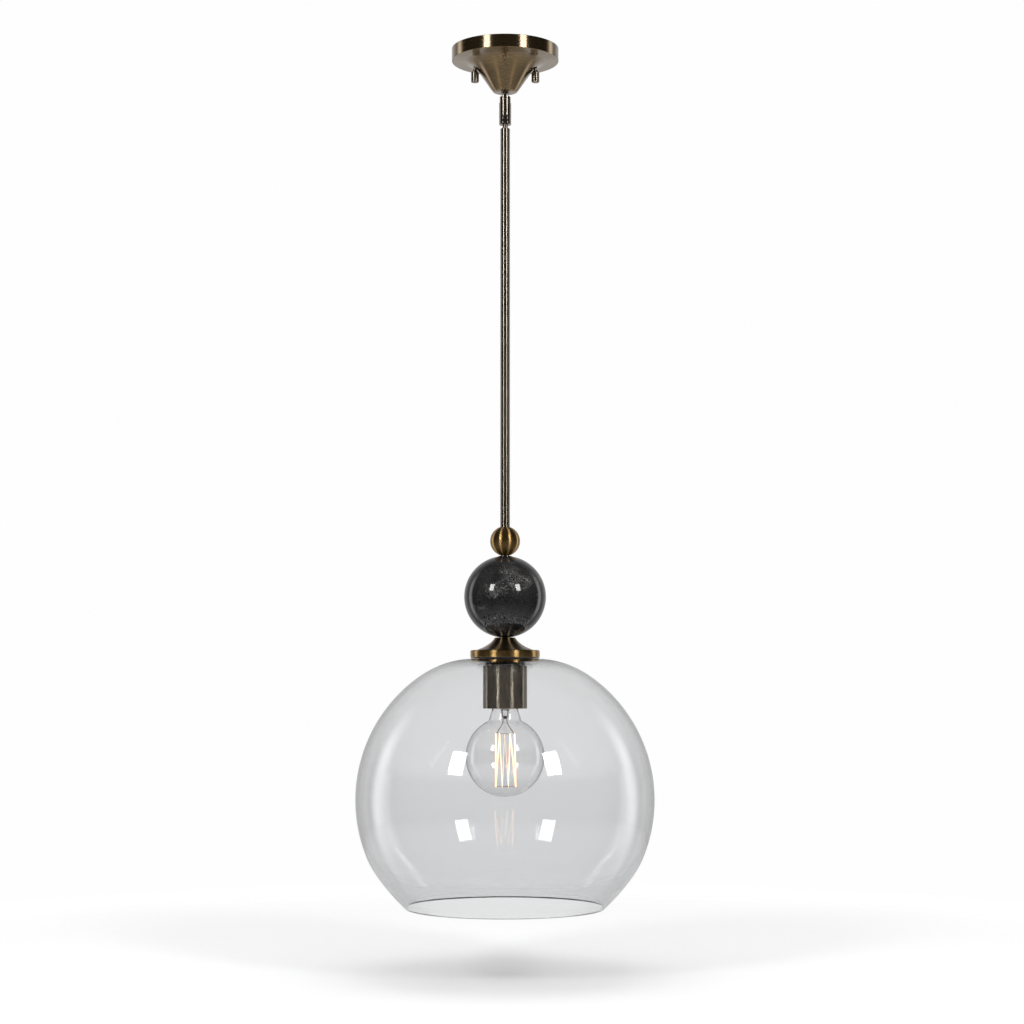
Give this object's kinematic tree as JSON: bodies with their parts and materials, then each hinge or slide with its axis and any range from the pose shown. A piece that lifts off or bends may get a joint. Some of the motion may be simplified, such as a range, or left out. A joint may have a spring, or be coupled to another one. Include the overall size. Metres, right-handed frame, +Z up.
{
  "type": "pendant ceiling light",
  "caption": "Pendant light: trumpet canopy, jointed hang-straight link, long rod stem, brass and black marble balls, open clear glass globe and a globe bulb.",
  "frame": {"origin": "on the lamp's vertical axis in the ceiling plane, level with the canopy's top rim and the crossbar's feet", "axes": "+Z up towards the ceiling, the lamp hangs along -Z; X runs along the crossbar through the two canopy knobs; the upper pivot's axis is Y and the lower pivot's is X"},
  "size_m": [0.3552, 0.3552, 1.0365],
  "materials": {
    "zinc_steel": "bright zinc plating",
    "ground_green": "green paint",
    "canopy_bronze": "antique bronze plating, satin",
    "dark_bronze": "dark bronze plating, polished",
    "aged_brass": "aged brass, brushed and lacquered",
    "contact_brass": "plain",
    "cable_sheath": "matt",
    "black_marble": "polished black marble with pale flecks",
    "black_rubber": "soft, matt",
    "globe_glass": "clear blown glass",
    "bulb_glass": "clear thin glass",
    "gunmetal": "gunmetal plating, polished",
    "porcelain": "white glaze",
    "bulb_nickel": "nickel plating",
    "black_glass": "black glass insulator",
    "support_wire": "bare wire",
    "filament_glow": "glowing carbon-look wire"
  },
  "bodies": {
    "ceiling_mount": {"crossbar": "zinc_steel", "ground_screw": "ground_green", "crossbar_locknut_upper": "zinc_steel", "crossbar_toothed_washer": "zinc_steel", "crossbar_locknut_lower": "zinc_steel", "canopy_stud_left": "dark_bronze", "canopy_stud_right": "dark_bronze", "stud_nut_left": "zinc_steel", "stud_nut_right": "zinc_steel", "canopy": "canopy_bronze", "ceiling_nipple": "zinc_steel", "swivel_lug": "dark_bronze", "cable_top": "cable_sheath"},
    "knob_left": {"canopy_knob_left": "dark_bronze"},
    "knob_right": {"canopy_knob_right": "dark_bronze"},
    "swivel_link": {"swivel_link": "dark_bronze", "pivot_pin_upper_front": "dark_bronze", "pivot_pin_upper_back": "dark_bronze", "pivot_pin_lower_left": "dark_bronze", "pivot_pin_lower_right": "dark_bronze", "cable_link": "cable_sheath"},
    "pendant": {"stem_lug": "dark_bronze", "stem_tube": "dark_bronze", "stem_coupling": "zinc_steel", "short_stem": "dark_bronze", "brass_ball": "aged_brass", "ball_washer": "dark_bronze", "marble_ball": "black_marble", "flared_cone": "dark_bronze", "collar_cap": "aged_brass", "upper_gasket": "black_rubber", "glass_globe": "globe_glass", "lower_gasket": "black_rubber", "clamp_washer": "zinc_steel", "socket_cup": "gunmetal", "cup_locknut": "zinc_steel", "threaded_rod": "zinc_steel", "lampholder_body": "porcelain", "screw_shell": "contact_brass", "centre_contact": "contact_brass", "terminal_screw_left": "contact_brass", "terminal_screw_right": "contact_brass", "cable_stem": "cable_sheath"},
    "bulb": {"bulb_cap": "bulb_nickel", "cap_insulator": "black_glass", "tip_contact": "bulb_nickel", "bulb_glass": "bulb_glass", "bulb_mount": "bulb_glass", "hooks_top": "support_wire", "hooks_bottom": "support_wire", "lead_wire_left": "support_wire", "lead_wire_right": "support_wire", "filament": "filament_glow"}
  },
  "joints": [
    {"name": "upper_swivel", "type": "hinge", "parent": "ceiling_mount", "child": "swivel_link", "pos_m": [0, 0, -0.0622], "axis": [0, 1, 0], "range_deg": [-45, 45]},
    {"name": "lower_swivel", "type": "hinge", "parent": "swivel_link", "child": "pendant", "pos_m": [0, 0, -0.0878], "axis": [1, 0, 0], "range_deg": [-45, 45]},
    {"name": "bulb_turn", "type": "hinge", "parent": "pendant", "child": "bulb", "pos_m": [0, 0, -0.792], "axis": [0, 0, 1], "continuous": true},
    {"name": "knob_left_turn", "type": "hinge", "parent": "ceiling_mount", "child": "knob_left", "pos_m": [-0.0368, 0, -0.0345], "axis": [0, 0, 1], "continuous": true},
    {"name": "knob_right_turn", "type": "hinge", "parent": "ceiling_mount", "child": "knob_right", "pos_m": [0.0368, 0, -0.0345], "axis": [0, 0, 1], "continuous": true}
  ]
}
